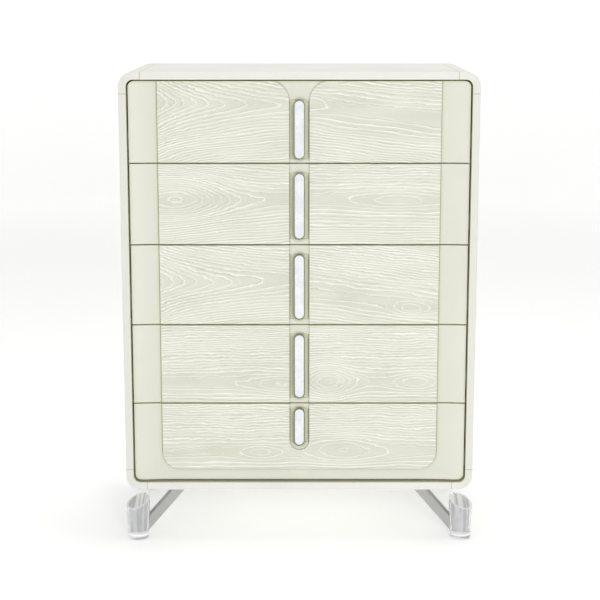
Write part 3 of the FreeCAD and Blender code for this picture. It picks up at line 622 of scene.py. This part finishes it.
def board_joints():
    """The planes, as axis and place, on which the case's boards meet."""
    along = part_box("top_panel")[1].x
    low, high = (corner.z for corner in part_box("left_side_panel"))
    return (0, along), (2, low), (2, high)


def build_case(paint):
    """The case's eight boards, which meet at fine joints."""
    share_of = on_joint(board_joints())
    boards = ["top_panel", "bottom_panel", "left_side_panel", "right_side_panel"]
    boards += [
        f"corner_block_{end}_{side}" for end in ("top", "bottom") for side in ("left", "right")
    ]
    for node in boards:
        soft_piece(node, paint, "case", CASE_EASE, 4, share_of)


def build_drawer(number, finishes):
    """One drawer's front, veneered panels and handle, and the finish of its box and slides."""
    body = f"drawer_{number}"
    paint, around = front_paint(number), on_rim(*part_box(f"{body}_front"))
    soft_piece(f"{body}_front", paint, body, FRONT_EASE, 3, around)
    veneer = limed_ash(f"limed_ash_{number}", number)
    soft_piece(f"{body}_grain_panels", veneer, body, PANEL_EASE)
    soft_piece(f"{body}_handle_inlay", finishes["inlay"], body, INLAY_EASE)
    dress(f"{body}_handle", finishes["rim"])
    dress(f"{body}_box", finishes["ply"])
    dress(f"{body}_bottom", finishes["ply_flat"])
    dress(f"{body}_slide_runners", finishes["zinc"])
    dress(f"{body}_slide_middles", finishes["zinc"])


def build_legs(finishes):
    """Steel core, bar and plate of each leg, and its clear sleeve."""
    for end in ("front", "rear"):
        for side in ("left", "right"):
            where = f"{end}_{side}"
            soft_piece(f"leg_{where}", finishes["core"], "case", LEG_EASE)
            soft_piece(f"foot_{where}", finishes["clear"], "case", LEG_EASE)


def foot_axis():
    """How far a foot's axis stands aside and ahead of the middle, and its core's radius."""
    low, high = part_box("foot_front_right")
    radius = (high.x - low.x) / 2 - SLEEVE_WALL
    return (low.x + high.x) / 2, -(low.y + high.y) / 2, radius


def front_paint(number):
    """The front's lacquer, with painted shade that grows darker in the hollow round its panels.
    """
    low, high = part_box(f"drawer_{number}_grain_panels")
    front_low, front_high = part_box(f"drawer_{number}_front")
    # only the lowest front has a hollow under its panels, and their shadow ends above it
    hollow_below = low.z - front_low.z > 0.01
    cove = {
        "x": high.x,
        "z": low.z,
        "wide": front_high.x - high.x,
        "low": 0.028,
        # painted shade: the hollow's tone, darkest beside the panels
        "tone": tone(211, 213, 198),
        "end": low.z + (0.045 if hollow_below else -0.01),
        "channel": 0.0252,
        "face": low.y + 0.0025,
    }
    return satin_paint(
        f"front_satin_{number}", tone(220, 220, 208), tone(236, 236, 226), cove=cove
    )


def make_object():
    """Every finish once, then the case, the legs, the drawers and what stays plain CAD."""
    ply = {"side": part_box("drawer_1_box")[1].x - BOX_WALL, "layer": PLY_LAYER}
    case_paint = satin_paint(
        "case_satin", tone(226, 225, 218), tone(241, 240, 233), board_joints()
    )
    back_paint = satin_paint(
        "back_satin", tone(228, 228, 217), tone(240, 240, 230), clouding=0.985
    )
    finishes = {
        "rim": brushed_metal(
            "pewter_rim", tone(138, 138, 130), (0.0008, 0.0008, 0.03), 0.3, edge_highlight=0.15
        ),
        "inlay": crackled_stone("shell_inlay"),
        "ply": plain_wood("birch_ply", tone(224, 208, 180), tone(203, 181, 146), ply),
        "ply_flat": plain_wood("birch_ply_flat", tone(226, 210, 182), tone(207, 187, 153)),
        "zinc": zinc_steel("zinc_steel", tone(196, 198, 201)),
        "core": brushed_metal(
            "brushed_steel", tone(228, 228, 228), (0.0030, 0.0030, 0.12), 0.26, core=foot_axis()
        ),
        "clear": clear_acrylic("clear_acrylic"),
    }
    build_case(case_paint)
    build_legs(finishes)
    for number in DRAWERS:
        build_drawer(number, finishes)
    dress("back_panel", back_paint)
    dress("divider_rails", plain_wood("sage_rail", tone(226, 225, 190), tone(208, 206, 164)))
    dress("slide_cabinet_members", finishes["zinc"])
    dress("leg_screws", zinc_steel("screw_zinc", tone(178, 180, 184)))


# ---------------------------------------------------------------- stage


def make_stage():
    """A round pale floor that sweeps up into a low wall on every side."""
    s = Shader("pale_floor")
    cloud = s.noise((0.9, 0.9, 0.9), detail=2)
    pale = s.blend(tone(236, 236, 235), tone(242, 242, 241), cloud)
    s.finish(pale, 0.8 + cloud * 0.1, Specular_IOR_Level=0.1, Emission_Strength=0.34)
    s.bsdf.inputs["Emission Color"].default_value = (1.0, 1.0, 1.0, 1.0)
    flat, turn, height, around = 6.2, 1.2, 3.2, 72
    profile = [(0.05, 0.0), (2.0, 0.0), (4.0, 0.0)]
    sweep = 8
    for step in range(sweep + 1):
        angle = math.radians(90 * step / sweep)
        profile.append((flat + turn * math.sin(angle), turn - turn * math.cos(angle)))
    profile.append((flat + turn, height))
    points = []
    for radius, z in profile:
        for step in range(around):
            angle = 2 * math.pi * step / around
            points.append((radius * math.cos(angle), radius * math.sin(angle), z))
    faces = [tuple(range(around))]
    for ring in range(len(profile) - 1):
        for step in range(around):
            start, after = ring * around + step, ring * around + (step + 1) % around
            faces.append((start, start + around, after + around, after))
    mesh = bpy.data.meshes.new("sweep")
    mesh.from_pydata(points, [], faces)
    mesh.polygons.foreach_set("use_smooth", [True] * len(mesh.polygons))
    mesh.materials.append(s.material)
    floor = bpy.data.objects.new("sweep", mesh)
    bpy.context.scene.collection.objects.link(floor)


def area_light(name, place, target, size, power):
    """A white rectangular lamp that looks at its target, its size in metres, power in W."""
    data = bpy.data.lights.new(name, "AREA")
    data.shape = "RECTANGLE"
    data.size, data.size_y = size
    data.energy = power
    lamp = bpy.data.objects.new(name, data)
    lamp.location = place
    lamp.rotation_mode = "QUATERNION"
    away = Vector(place) - Vector(target)
    lamp.rotation_quaternion = away.to_track_quat("Z", "Y")
    bpy.context.scene.collection.objects.link(lamp)


def make_light():
    """A white world, a large key lamp from the front right, a weak fill and a top lamp."""
    world = bpy.data.worlds.new("studio")
    bpy.context.scene.world = world
    world.use_nodes = True
    background = world.node_tree.nodes["Background"]
    background.inputs["Color"].default_value = (1.0, 1.0, 1.0, 1.0)
    background.inputs["Strength"].default_value = 0.48
    area_light("key", (1.0, -4.4, 1.9), (0.0, -0.2, 0.7), (0.9, 0.9), 46)
    area_light("fill", (-2.9, -3.4, 1.3), (0.0, -0.2, 0.6), (1.8, 2.2), 6)
    area_light("top", (0.2, 0.2, 3.8), (0.0, 0.0, 1.2), (1.6, 1.2), 45)


def make_camera():
    """The photo's view: from the front, tilted a little down, the object just in frame."""
    tilt_down = 0.18171
    data = bpy.data.cameras.new("camera")
    data.sensor_width = 36.0
    data.lens = 89.145
    data.shift_y = -0.06
    data.clip_start, data.clip_end = 0.1, 60.0
    camera = bpy.data.objects.new("camera", data)
    camera.location = (0.0016, -3.925, 1.415)
    camera.rotation_euler = (math.pi / 2 - tilt_down, 0.0, 0.0)
    bpy.context.scene.collection.objects.link(camera)
    bpy.context.scene.camera = camera


make_object()
make_stage()
make_light()
make_camera()
bpy.context.scene.view_settings.view_transform = "Standard"
